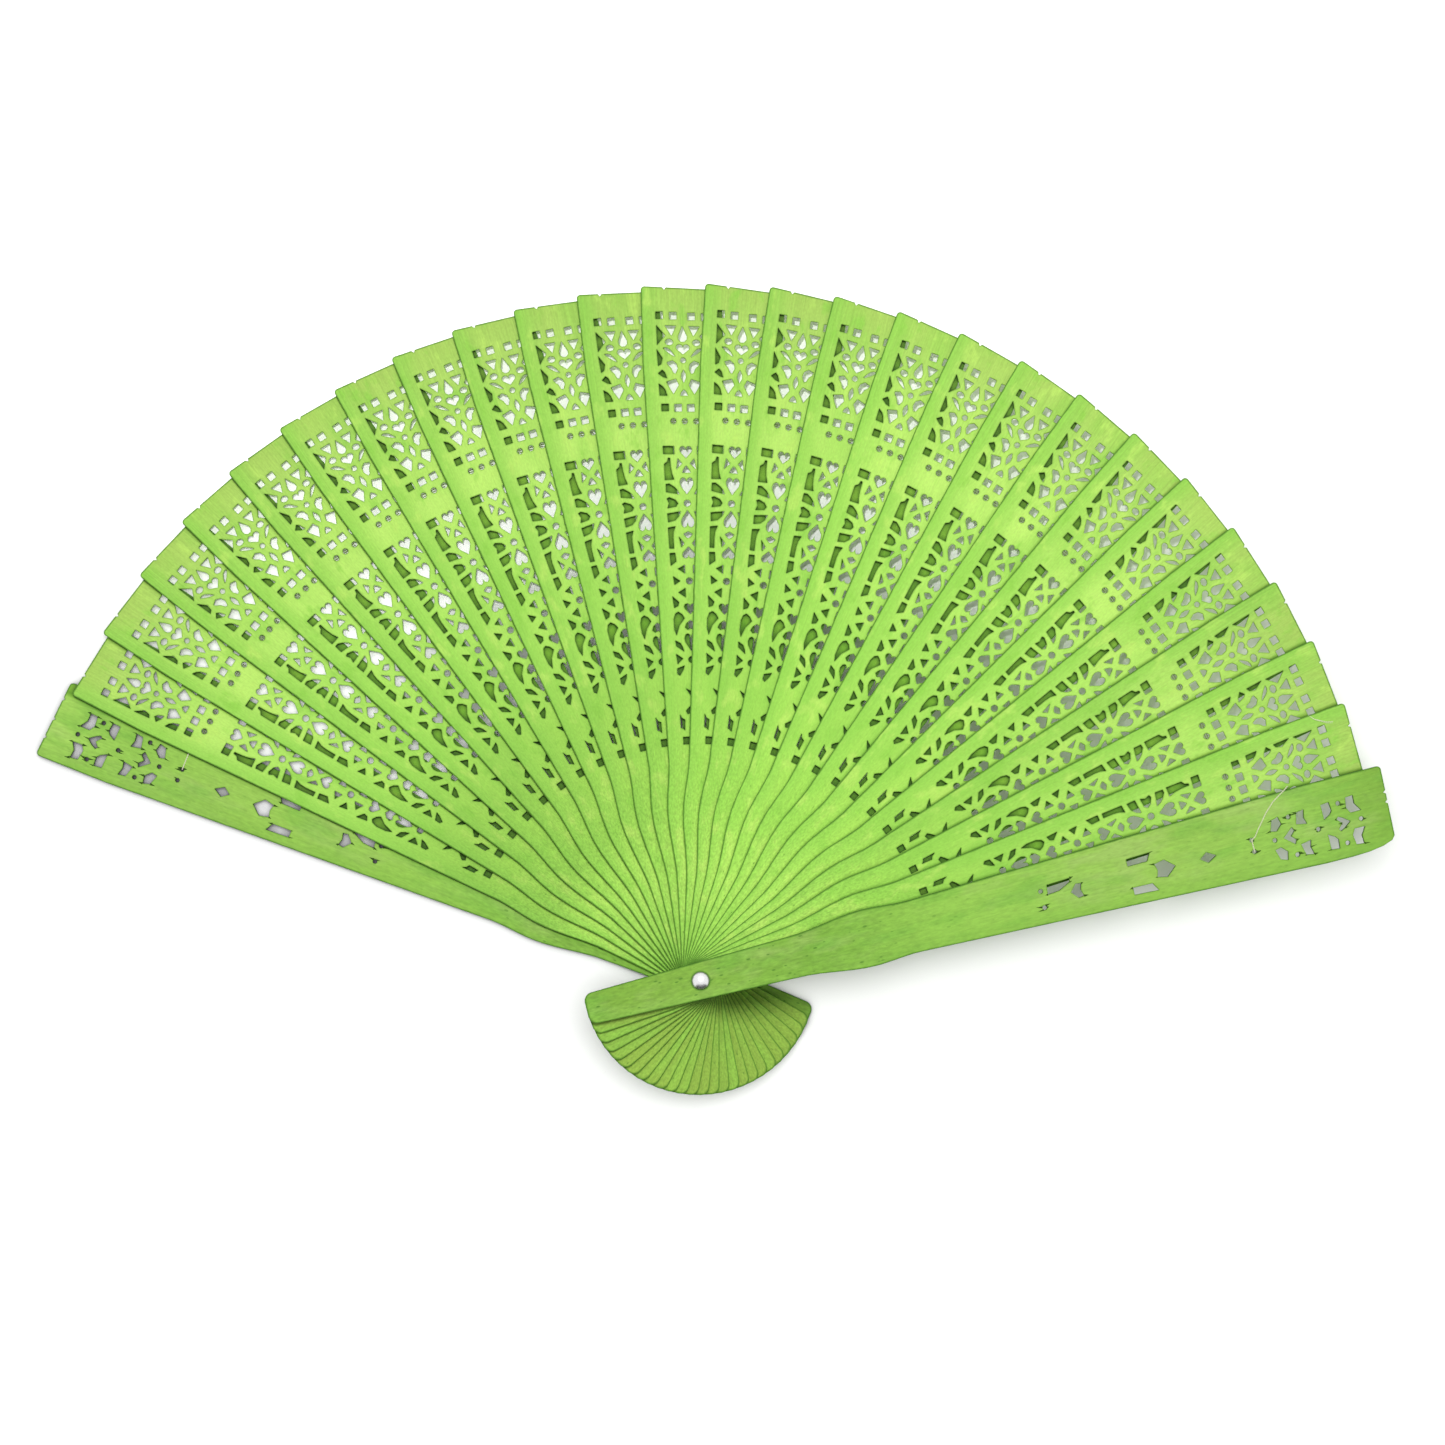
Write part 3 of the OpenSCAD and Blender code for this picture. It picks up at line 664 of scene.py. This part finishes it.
# Pieces of thread
def yarn_tree(material):
    """Twists plies round the paths that come in as edges, and returns them as one mesh."""
    group = bpy.data.node_groups.new("plied_yarn", "GeometryNodeTree")
    group.interface.new_socket("Paths", in_out="INPUT", socket_type="NodeSocketGeometry")
    sizes = {
        "Ply radius": PLY_R,
        "Twist length": TWIST_LENGTH,
        "Step": YARN_STEP,
        "Bend radius": YARN_BEND_R,
        "Lay width": LAY_W,
    }
    for name, size in sizes.items():
        socket = group.interface.new_socket(name, in_out="INPUT", socket_type="NodeSocketFloat")
        socket.default_value = size * MM
    group.interface.new_socket("Yarn", in_out="OUTPUT", socket_type="NodeSocketGeometry")
    tree = Tree(group)
    first = tree.add("NodeGroupInput").socket.node
    given = {socket.name: Link(tree, socket) for socket in first.outputs}

    path = tree.add("GeometryNodeMeshToCurve", sockets={"Mesh": given["Paths"]})
    bend = {"Curve": path, "Count": 4, "Radius": given["Bend radius"], "Limit Radius": True}
    path = tree.add("GeometryNodeFilletCurve", {"mode": "POLY"}, bend)
    step = {"Curve": path, "Length": given["Step"]}
    path = tree.add("GeometryNodeResampleCurve", {"mode": "LENGTH"}, step)
    path = tree.add("GeometryNodeSetCurveNormal", {"mode": "Z_UP"}, {"Curve": path})
    length = tree.add("GeometryNodeSplineParameter", output=1)
    keep = {"Geometry": path, "Name": "run", "Value": length / MM}
    path = tree.add("GeometryNodeStoreNamedAttribute", {"data_type": "FLOAT", "domain": "POINT"}, keep)
    lay_h = tree.add("GeometryNodeInputNamedAttribute", {"data_type": "FLOAT"}, {"Name": "lay_h"})
    side = tree.add("GeometryNodeInputNormal")
    up = tree.vectors("CROSS_PRODUCT", tree.add("GeometryNodeInputTangent"), side)
    ring = {"Resolution": PLY_SIDES, "Radius": given["Ply radius"]}
    profile = tree.add("GeometryNodeCurvePrimitiveCircle", {"mode": "RADIUS"}, ring)
    joined = group.nodes.new("GeometryNodeJoinGeometry")
    for ply in range(PLIES):
        turn = length / given["Twist length"] * (2 * math.pi) + 2 * math.pi * ply / PLIES
        sideways = tree.scaled(side, tree.maths("COSINE", turn) * given["Lay width"])
        upwards = tree.scaled(up, tree.maths("SINE", turn) * lay_h)
        offset = tree.vectors("ADD", sideways, upwards)
        laid = tree.add("GeometryNodeSetPosition", sockets={"Geometry": path, "Offset": offset})
        tube = {"Curve": laid, "Profile Curve": profile, "Fill Caps": True}
        mesh = tree.add("GeometryNodeCurveToMesh", sockets=tube)
        group.links.new(mesh.socket, joined.inputs[0])
    whole = tree.add("GeometryNodeSetShadeSmooth", sockets={"Geometry": Link(tree, joined.outputs[0])})
    whole = tree.add("GeometryNodeRealizeInstances", sockets={"Geometry": whole})
    whole = tree.add("GeometryNodeSetMaterial", sockets={"Geometry": whole, "Material": material})
    tree.add("NodeGroupOutput", sockets={"Yarn": whole})
    return group


def torn_tree(material):
    """Slivers of torn fibre on a guard's face, at the corners where a hole ends along the grain."""
    group = bpy.data.node_groups.new("torn_fibres", "GeometryNodeTree")
    group.interface.new_socket("Guard", in_out="INPUT", socket_type="NodeSocketGeometry")
    group.interface.new_socket("Grain", in_out="INPUT", socket_type="NodeSocketVector")
    for name in ("Face height", "From", "To", "Share"):
        group.interface.new_socket(name, in_out="INPUT", socket_type="NodeSocketFloat")
    group.interface.new_socket("Seed", in_out="INPUT", socket_type="NodeSocketInt")
    group.interface.new_socket("Slivers", in_out="OUTPUT", socket_type="NodeSocketGeometry")
    tree = Tree(group)
    first = tree.add("NodeGroupInput").socket.node
    given = {socket.name: Link(tree, socket) for socket in first.outputs}

    def chance(low, high, number):
        index = tree.add("GeometryNodeInputIndex")
        sockets = {2: low, 3: high, "ID": index, "Seed": given["Seed"] + number}
        return tree.add("FunctionNodeRandomValue", {"data_type": "FLOAT"}, sockets, output=1)

    place = tree.add("GeometryNodeInputPosition")
    sideways = tree.vectors("MULTIPLY", tree.add("GeometryNodeInputNormal"), (1, 1, 0))
    facing = tree.vectors("DOT_PRODUCT", tree.vectors("NORMALIZE", sideways), given["Grain"], output=1)
    run = tree.vectors("DOT_PRODUCT", place, given["Grain"], output=1)
    on_face = tree.maths("GREATER_THAN", tree.parts(place)[2], given["Face height"])
    on_panels = tree.maths("GREATER_THAN", run, given["From"]) * tree.maths("LESS_THAN", run, given["To"])
    at_end = tree.maths("GREATER_THAN", abs(facing), END_FACING)
    sharp = tree.maths("GREATER_THAN", tree.parts(tree.add("GeometryNodeInputNormal"))[2], SHARP_UPWARD)

    wedge = {"Vertices": 4, "Radius Top": 0, "Radius Bottom": 0.5, "Depth": 1}
    cone = tree.add("GeometryNodeMeshCone", sockets=wedge)
    flat = {"Geometry": cone, "Rotation": (-math.pi / 2, 0, 0)}
    sliver = tree.add("GeometryNodeTransform", sockets=flat)
    joined = group.nodes.new("GeometryNodeJoinGeometry")
    for strand in range(2):
        picked = tree.maths("LESS_THAN", chance(0, 1, 10 * strand), given["Share"] * sharp + DOT_TORN)
        across = tree.vectors("CROSS_PRODUCT", (0, 0, 1), given["Grain"])
        straight = tree.scaled(given["Grain"], 0 - tree.maths("SIGN", facing))
        skew = tree.scaled(across, chance(-SLIVER_SKEW, SLIVER_SKEW, 10 * strand + 1))
        way = tree.parts(tree.vectors("ADD", straight, skew))
        turn = tree.maths("ARCTAN2", way[1], way[0]) - math.pi / 2
        rotation = tree.add("ShaderNodeCombineXYZ", sockets={"Z": turn})
        size = tree.add("ShaderNodeCombineXYZ", sockets={
            "X": chance(SLIVER_W[0] * MM, SLIVER_W[1] * MM, 10 * strand + 2),
            "Y": chance(SLIVER_L[0] * MM, SLIVER_L[1] * MM, 10 * strand + 3),
            "Z": SLIVER_H * MM,
        })
        made = tree.add("GeometryNodeInstanceOnPoints", sockets={
            "Points": given["Guard"],
            "Selection": on_face * on_panels * at_end * picked,
            "Instance": sliver,
            "Rotation": rotation,
            "Scale": size,
        })
        group.links.new(made.socket, joined.inputs[0])
    whole = tree.add("GeometryNodeRealizeInstances", sockets={"Geometry": Link(tree, joined.outputs[0])})
    whole = tree.add("GeometryNodeSetMaterial", sockets={"Geometry": whole, "Material": material})
    tree.add("NodeGroupOutput", sockets={"Slivers": whole})
    return group


def torn_wood():
    """Dark torn fibre, paler along some of its strands."""
    material, tree = new_material("torn_wood")
    place = tree.scaled(tree.add("ShaderNodeTexCoord", output=3), 1 / MM)
    strand = tree.noise(place, TORN_STRANDS, 4, detail=3)
    colour = tree.mix(tree.fade(strand, *PALE_STRANDS), TORN_WOOD, TORN_PALE)
    shine(tree, {
        "Base Color": colour,
        "Roughness": TORN_ROUGH + TORN_WORN * strand,
        "Specular IOR Level": TORN_GLOSS,
    })
    return material


def torn_piercings(k, share, group):
    """The torn fibres on a guard's upper face."""
    name = blade_name(k)
    whole = bmesh.new()
    whole.from_mesh(frame["nodes"][name].data)
    bmesh.ops.remove_doubles(whole, verts=whole.verts, dist=0.001 * MM)
    mesh = bpy.data.meshes.new(name + "_torn_fibres")
    whole.to_mesh(mesh)
    whole.free()
    piece = bpy.data.objects.new(name + "_torn_fibres", mesh)
    bpy.context.scene.collection.objects.link(piece)
    angle = blade_angle(k)
    inputs = {
        "Grain": (-math.sin(angle), math.cos(angle), 0),
        "Face height": blade_level(k) + 0.9 * GUARD_T * MM,
        "From": TORN_FROM * MM,
        "To": TORN_TO * MM,
        "Share": share,
        "Seed": 20 + k,
    }
    through_nodes(piece, group, inputs)
    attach(piece, name)
    return piece


def edge_object(name, paths):
    """An object of bare edges along paths, which are lists of points, each with its lay height."""
    points, edges, heights = [], [], []
    for path, height in paths:
        start = len(points)
        points += path
        heights += [height * MM] * len(path)
        edges += [(start + i, start + i + 1) for i in range(len(path) - 1)]
    mesh = bpy.data.meshes.new(name)
    mesh.from_pydata(points, edges, [])
    mesh.attributes.new("lay_h", "FLOAT", "POINT").data.foreach_set("value", heights)
    piece = bpy.data.objects.new(name, mesh)
    bpy.context.scene.collection.objects.link(piece)
    return piece


def through_nodes(piece, group, inputs=None):
    """Runs a geometry tree on a piece and keeps the result as its plain mesh."""
    modifier = piece.modifiers.new("build", "NODES")
    modifier.node_group = group
    named = {socket.name: socket.identifier for socket in group.interface.items_tree}
    for name, value in (inputs or {}).items():
        modifier[named[name]] = value
    graph = bpy.context.evaluated_depsgraph_get()
    mesh = bpy.data.meshes.new_from_object(piece.evaluated_get(graph), depsgraph=graph)
    piece.modifiers.remove(modifier)
    old = piece.data
    piece.data = mesh
    bpy.data.meshes.remove(old)
    mesh.name = piece.name
    return piece


def thread_piece(name, k, paths, group, node=None, inputs=None):
    """A piece of thread on blade k, which stands for that blade's thread node if it names one."""
    placed = [([on_blade(k, point) for point in path], height) for path, height in paths]
    piece = through_nodes(edge_object(name, placed), group, inputs)
    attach(piece, blade_name(k))
    if node:
        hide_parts(node)
    return piece


def stick_hole(x, z):
    """A place in the row of a stick's thread holes."""
    return (x, THREAD_Y - THREAD_LEAN * x, z)


def rear_yarn(group):
    """Up through the rear guard's inner hole, then under the first stick."""
    top = GUARD_T + FLAT_LAY_H + PLY_R
    hole = (REAR_HOLE_X, GUARD_THREAD_Y)
    path = [(*hole, 0), (*hole, top), (hole[0] + REAR_THREAD_RUN, hole[1], top)]
    return thread_piece("rear_yarn", 0, [(path, FLAT_LAY_H)], group, "rear_thread")


def stick_yarn(k, group):
    """Two strands along the stick's back behind its holes, then up through the right-hand one."""
    under = -FLAT_LAY_H - PLY_R
    strands = []
    for side in (-1, 1):
        start, turn, top = [
            Vector(stick_hole(x, z)) + Vector((0, side * STRAND_GAP, 0))
            for x, z in ((-THREAD_RUN, under), (THREAD_HOLE_PITCH, under), (THREAD_HOLE_PITCH, STICK_T))
        ]
        strands.append(([start, turn, top], FLAT_LAY_H))
    return thread_piece(f"yarn_{k:02d}", k, strands, group, f"thread_{k:02d}")


def front_yarn(group):
    """A stitch between the front guard's two holes, and the loose stretch over its inner edge."""
    top = GUARD_T + FLAT_LAY_H + PLY_R
    inner, outer = FRONT_HOLES_X
    stitch = [(inner, GUARD_THREAD_Y, 0), (inner, GUARD_THREAD_Y, top)]
    stitch += [(outer, GUARD_THREAD_Y, top), (outer, GUARD_THREAD_Y, 0)]
    loose = [(inner + x, GUARD_THREAD_Y + y, GUARD_T + z) for x, y, z in LOOSE_ROUTE]
    paths = [(stitch, FLAT_LAY_H), (loose, LAY_W)]
    return thread_piece("front_yarn", FRONT, paths, group, "front_thread")


def loose_end(group):
    """Two fine strands that show past the last stick's left edge."""
    first = [(x, y, STICK_T + z) for x, y, z in LOOSE_END]
    split = [tuple(a + b * i / 4 for a, b in zip(point, LOOSE_END_SPLIT)) for i, point in enumerate(first)]
    inputs = {"Ply radius": STRAND_PLY * STRAND_R * MM, "Lay width": STRAND_LAY * STRAND_R * MM}
    paths = [(first, STRAND_LAY * STRAND_R), (split, STRAND_LAY * STRAND_R)]
    return thread_piece("loose_thread_end", STICK_COUNT, paths, group, inputs=inputs)


# Stage: sizes in metres, light in shares of what makes white
FLOOR_SIZE = 8
FLOOR_GAP = 0.00005
FLOOR_WHITE = 0.8
FLOOR_LIFT = 0.02
SKY = 0.4
FAN_LAMP = {"come_from": (0.06, 0.36, 0.92), "angle": 20, "share": 0.64}
FLOOR_LAMP = {"come_from": (0, 0.1, 1), "angle": 36, "share": 0.98}

# The lamp for the floor under the tips, in millimetres, and what its shade lets through: distances from the
# pivot, and directions as angles from +X at the fan's two sides
TIP_LAMP_AT = (-40, 148, 1283)
TIP_LAMP_R = 12
TIP_LAMP_CONE = 40
TIP_LAMP_SHARE = 0.64
SHADE_DARK_R, SHADE_CLEAR_R = 94, 113
SHADE_RIGHT = (10, 80)
SHADE_LEFT = (152, 132)
SHADE_WIDER = 16
# How near a thing has to lie for painted shade on the floor beside it, in millimetres, and the shares of
# open air round a spot between which the floor goes from dark to white
CONTACT_R = 2.6
CONTACT_OPEN = (-0.1, 1)
# The graded card, in metres, and its glow at its foot and above it
FLAG_AT = (0.05, -0.22)
FLAG_SIZE = (0.5, 0.3)
FLAG_FOOT, FLAG_TOP = 0.03, 0.6


def seen_directly(tree):
    """1 for rays from the camera, also by way of metal or glass."""
    rays = tree.add("ShaderNodeLightPath").socket.node.outputs
    kinds = ("Camera", "Glossy", "Transmission")
    camera, glossy, clear = [Link(tree, rays[f"Is {kind} Ray"]) for kind in kinds]
    return tree.maths("MINIMUM", camera + glossy + clear, 1)


def floor_paint():
    """Matte white that keeps the shadow, has painted shade beside what lies on it and is pure white in the
    light.
    """
    material, tree = new_material("floor_paint")
    reach = {"Distance": CONTACT_R * MM}
    # Painted shade on the floor close beside what lies on it
    open_share = tree.add("ShaderNodeAmbientOcclusion", {"samples": 8}, reach, output=1)
    level = tree.fade(open_share, *CONTACT_OPEN) * FLOOR_WHITE
    matte = tree.add("ShaderNodeBsdfDiffuse", sockets={"Color": level})
    glow = {"Color": WHITE, "Strength": seen_directly(tree) * FLOOR_LIFT}
    lift = tree.add("ShaderNodeEmission", sockets=glow)
    both = tree.add("ShaderNodeAddShader", sockets={0: matte, 1: lift})
    tree.add("ShaderNodeOutputMaterial", sockets={"Surface": both})
    return material


def flag_cloth():
    """A card that glows, dark at its foot and bright at its top, lighting only what the rivet reflects."""
    material, tree = new_material("flag_cloth")
    height = tree.parts(tree.add("ShaderNodeTexCoord", output=3))[2] / FLAG_SIZE[1]
    strength = FLAG_FOOT + FLAG_TOP * height * height
    glow = tree.add("ShaderNodeEmission", sockets={"Color": WHITE, "Strength": strength})
    tree.add("ShaderNodeOutputMaterial", sockets={"Surface": glow})
    return material


def card(name, corners, material):
    """A flat card of the stage."""
    mesh = bpy.data.meshes.new(name)
    mesh.from_pydata(corners, [], [tuple(range(len(corners)))])
    mesh.materials.append(material)
    made = bpy.data.objects.new(name, mesh)
    bpy.context.scene.collection.objects.link(made)
    made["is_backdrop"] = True
    return made


def make_floor():
    half = FLOOR_SIZE / 2
    signs = [(-1, -1), (1, -1), (1, 1), (-1, 1)]
    return card("floor", [(half * a, half * b, -FLOOR_GAP) for a, b in signs], floor_paint())


def make_flag():
    """A graded card towards the viewer, which only the polished rivet mirrors."""
    x, y = FLAG_AT
    half, high = FLAG_SIZE[0] / 2, FLAG_SIZE[1]
    corners = [(x - half, y, 0), (x + half, y, 0), (x + half, y, high), (x - half, y, high)]
    flag = card("flag", corners, flag_cloth())
    for ray in ("camera", "diffuse", "shadow", "transmission", "volume_scatter"):
        setattr(flag, "visible_" + ray, False)


def hang(lamp, targets, way, place=(0, 0, 0)):
    """Hangs a lamp that shines against way, for the targets only."""
    made = bpy.data.objects.new(lamp.name, lamp)
    made.location = place
    made.rotation_euler = Vector((0, 0, 1)).rotation_difference(way).to_euler()
    bpy.context.scene.collection.objects.link(made)
    lit = bpy.data.collections.new(lamp.name + "_targets")
    for target in targets:
        lit.objects.link(target)
    made.light_linking.receiver_collection = lit


def high_lamp(name, targets, come_from, angle, share):
    """A wide, even lamp far above."""
    lamp = bpy.data.lights.new(name, "SUN")
    lamp.angle = math.radians(angle)
    way = Vector(come_from).normalized()
    lamp.energy = math.pi * share / way.z
    hang(lamp, targets, way)


def lamp_shade(tree, place):
    """What the tip lamp's shade lets through towards each spot of the floor."""
    way = tree.parts(tree.add("ShaderNodeTexCoord", output=1))
    x = place[0] + place[2] * way[0] / abs(way[2])
    y = place[1] + place[2] * way[1] / abs(way[2])
    spot = tree.add("ShaderNodeCombineXYZ", sockets={"X": x, "Y": y})
    radius = tree.vectors("LENGTH", spot, output=1)
    angle = tree.maths("DEGREES", tree.maths("ARCTAN2", y, x))
    right = tree.fade(angle, *SHADE_RIGHT)
    clear = tree.fade(radius - SHADE_WIDER * (1 - right), SHADE_DARK_R, SHADE_CLEAR_R)
    return clear * right * tree.fade(angle, *SHADE_LEFT)


def tip_lamp(targets):
    """A lamp beside the camera, with a shade that keeps its light to the floor under the tips."""
    lamp = bpy.data.lights.new("tip_lamp", "SPOT")
    lamp.spot_size = math.radians(TIP_LAMP_CONE)
    lamp.shadow_soft_size = TIP_LAMP_R * MM
    lamp.energy = 4 * math.pi ** 2 * TIP_LAMP_SHARE * (TIP_LAMP_AT[2] * MM) ** 2
    lamp.use_nodes = True
    lamp.node_tree.nodes.clear()
    tree = Tree(lamp.node_tree)
    strength = lamp_shade(tree, TIP_LAMP_AT)
    glow = tree.add("ShaderNodeEmission", sockets={"Color": WHITE, "Strength": strength})
    tree.add("ShaderNodeOutputLight", sockets={"Surface": glow})
    hang(lamp, targets, Vector((0, 0, 1)), Vector(TIP_LAMP_AT) * MM)


def make_sky():
    """An even white sky."""
    world = bpy.data.worlds.new("studio")
    world.use_nodes = True
    world.node_tree.nodes.clear()
    tree = Tree(world.node_tree)
    strength = SKY + (1 - SKY) * seen_directly(tree)
    back = tree.add("ShaderNodeBackground", sockets={"Color": WHITE, "Strength": strength})
    tree.add("ShaderNodeOutputWorld", sockets={"Surface": back})
    bpy.context.scene.world = world


def make_stage():
    """A white floor, a card for the rivet to mirror, a lamp for the fan and two for the floor."""
    floor = make_floor()
    make_flag()
    make_sky()
    high_lamp("fan_lamp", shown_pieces(), **FAN_LAMP)
    high_lamp("floor_lamp", [floor], **FLOOR_LAMP)
    tip_lamp([floor])


def make_camera():
    """Straight above the fan, a little off its pivot."""
    data = bpy.data.cameras.new("camera")
    data.angle = 2 * math.atan(IMAGE_W / 2 / CAMERA_AT[2])
    data.dof.use_dof = False
    made = bpy.data.objects.new("camera", data)
    made.location = Vector(CAMERA_AT) * MM
    bpy.context.scene.collection.objects.link(made)
    bpy.context.scene.camera = made


def paint(node, material):
    """Gives a node of the fan its finish."""
    mesh = frame["nodes"][node].data
    mesh.materials.clear()
    mesh.materials.append(material)


def dress_blades():
    for k in (0, FRONT):
        paint(blade_name(k), guard_wood(k))
    for k in range(1, FRONT):
        paint(blade_name(k), stick_wood(k))
    steel = rivet_steel()
    for node in ("rivet", "rivet_burr"):
        paint(node, steel)


def lay_thread():
    group = yarn_tree(thread_cotton("thread_cotton", THREAD_PALE, THREAD_SHADE))
    # The yarn behind the sticks is stained and painted in shade
    stain_and_shade = yarn_tree(thread_cotton("stained_cotton", STAIN_AND_SHADE_PALE, STAIN_AND_SHADE_DARK))
    rear_yarn(group)
    for k in range(1, FRONT):
        stick_yarn(k, stain_and_shade)
    front_yarn(group)
    loose_end(group)


def tear_fibres():
    group = torn_tree(torn_wood())
    torn_piercings(0, REAR_TORN, group)
    torn_piercings(FRONT, FRONT_TORN, group)


make_camera()
lay_thread()
tear_fibres()
dress_blades()
make_stage()
bpy.context.scene.view_settings.view_transform = "Standard"
